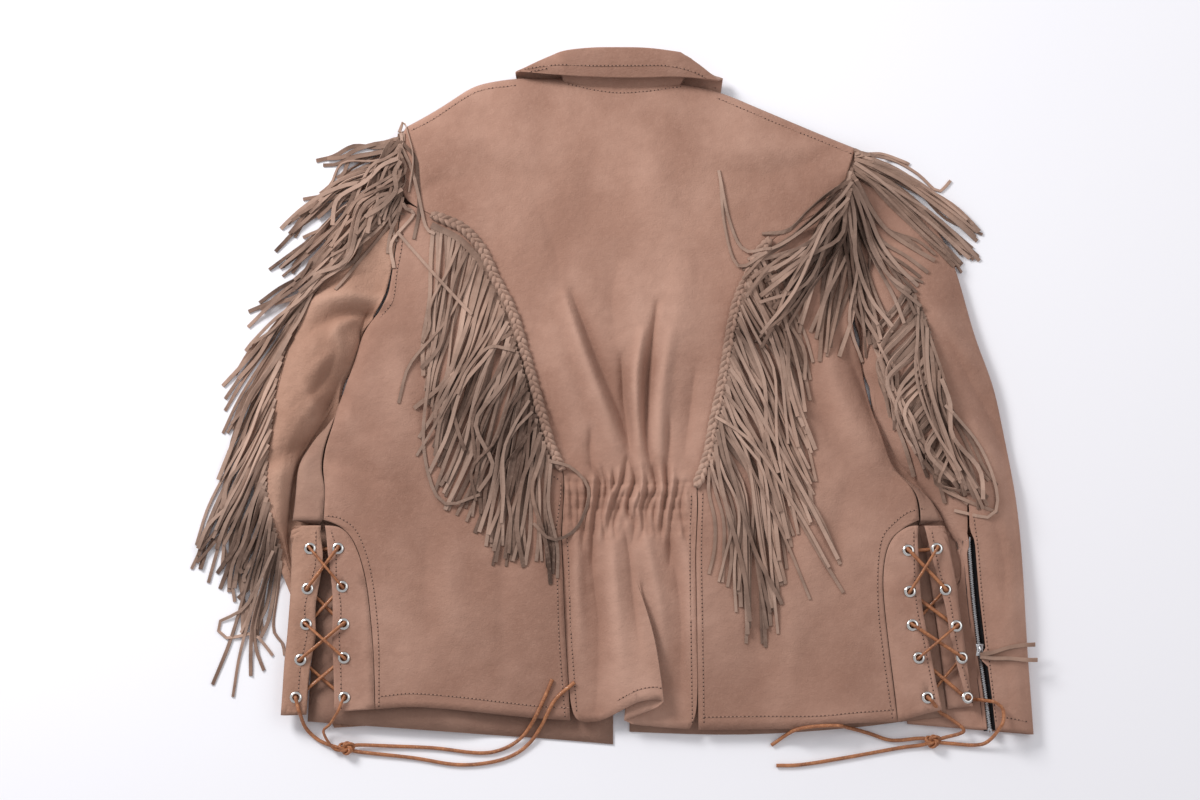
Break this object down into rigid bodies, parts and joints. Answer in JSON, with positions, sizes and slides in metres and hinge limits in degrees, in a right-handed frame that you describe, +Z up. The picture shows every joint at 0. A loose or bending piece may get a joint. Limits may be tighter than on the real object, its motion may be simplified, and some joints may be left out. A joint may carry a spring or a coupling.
{
  "type": "fringed suede jacket, laid flat",
  "caption": "Fringed suede jacket laid face down, with a shirred waist, braided yoke seams, laced vents at the sides and a zipped cuff.",
  "frame": {"origin": "centre of the bounding box, without the lace ends, on the flat surface that the jacket lies on", "axes": "+X across the jacket to the viewer's right when it is seen from above (the wearer's right side), +Y from hem to collar, +Z up out of the surface"},
  "size_m": [0.8858, 0.7629, 0.0443],
  "materials": {
    "suede": "matte brushed nap",
    "braid_suede": "matte brushed nap, braided strands",
    "fringe_suede": "matte cut strips",
    "thong_suede": "matte cut strip",
    "lace_leather": "waxed, low sheen",
    "eyelet_nickel": "bright nickel plate",
    "zip_metal": "silver-coloured metal",
    "zip_tape": "woven tape"
  },
  "bodies": {
    "root": {"centre_back": "suede", "side_back_left": "suede", "side_back_right": "suede", "front_left": "suede", "front_right": "suede", "sleeve_left_top": "suede", "sleeve_left_under": "suede", "sleeve_right_top": "suede", "sleeve_right_under": "suede", "collar_stand": "suede", "collar_fall": "suede", "lace_panel_left_front": "suede", "lace_panel_left_back": "suede", "lace_panel_right_back": "suede", "lace_panel_right_front": "suede", "eyelet_left_front_1": "eyelet_nickel", "eyelet_left_front_2": "eyelet_nickel", "eyelet_left_front_3": "eyelet_nickel", "eyelet_left_front_4": "eyelet_nickel", "eyelet_left_front_5": "eyelet_nickel", "eyelet_left_back_1": "eyelet_nickel", "eyelet_left_back_2": "eyelet_nickel", "eyelet_left_back_3": "eyelet_nickel", "eyelet_left_back_4": "eyelet_nickel", "eyelet_left_back_5": "eyelet_nickel", "eyelet_right_back_1": "eyelet_nickel", "eyelet_right_back_2": "eyelet_nickel", "eyelet_right_back_3": "eyelet_nickel", "eyelet_right_back_4": "eyelet_nickel", "eyelet_right_back_5": "eyelet_nickel", "eyelet_right_front_1": "eyelet_nickel", "eyelet_right_front_2": "eyelet_nickel", "eyelet_right_front_3": "eyelet_nickel", "eyelet_right_front_4": "eyelet_nickel", "eyelet_right_front_5": "eyelet_nickel", "braid_left": "braid_suede", "braid_right": "braid_suede", "fringe_back_left": "fringe_suede", "fringe_back_right": "fringe_suede", "fringe_sleeve_left": "fringe_suede", "fringe_sleeve_right": "fringe_suede", "fringe_shoulder_left": "fringe_suede", "fringe_shoulder_right": "fringe_suede", "lace_knot_left": "lace_leather", "lace_knot_right": "lace_leather", "lace_left": "lace_leather", "lace_right": "lace_leather", "lace_tail_left_upper": "lace_leather", "lace_tail_left_lower": "lace_leather", "lace_tail_right_upper": "lace_leather", "lace_tail_right_lower": "lace_leather", "zip_tape": "zip_tape", "zip_teeth": "zip_metal", "zip_slider": "zip_metal", "zip_thong": "thong_suede"}
  },
  "joints": []
}
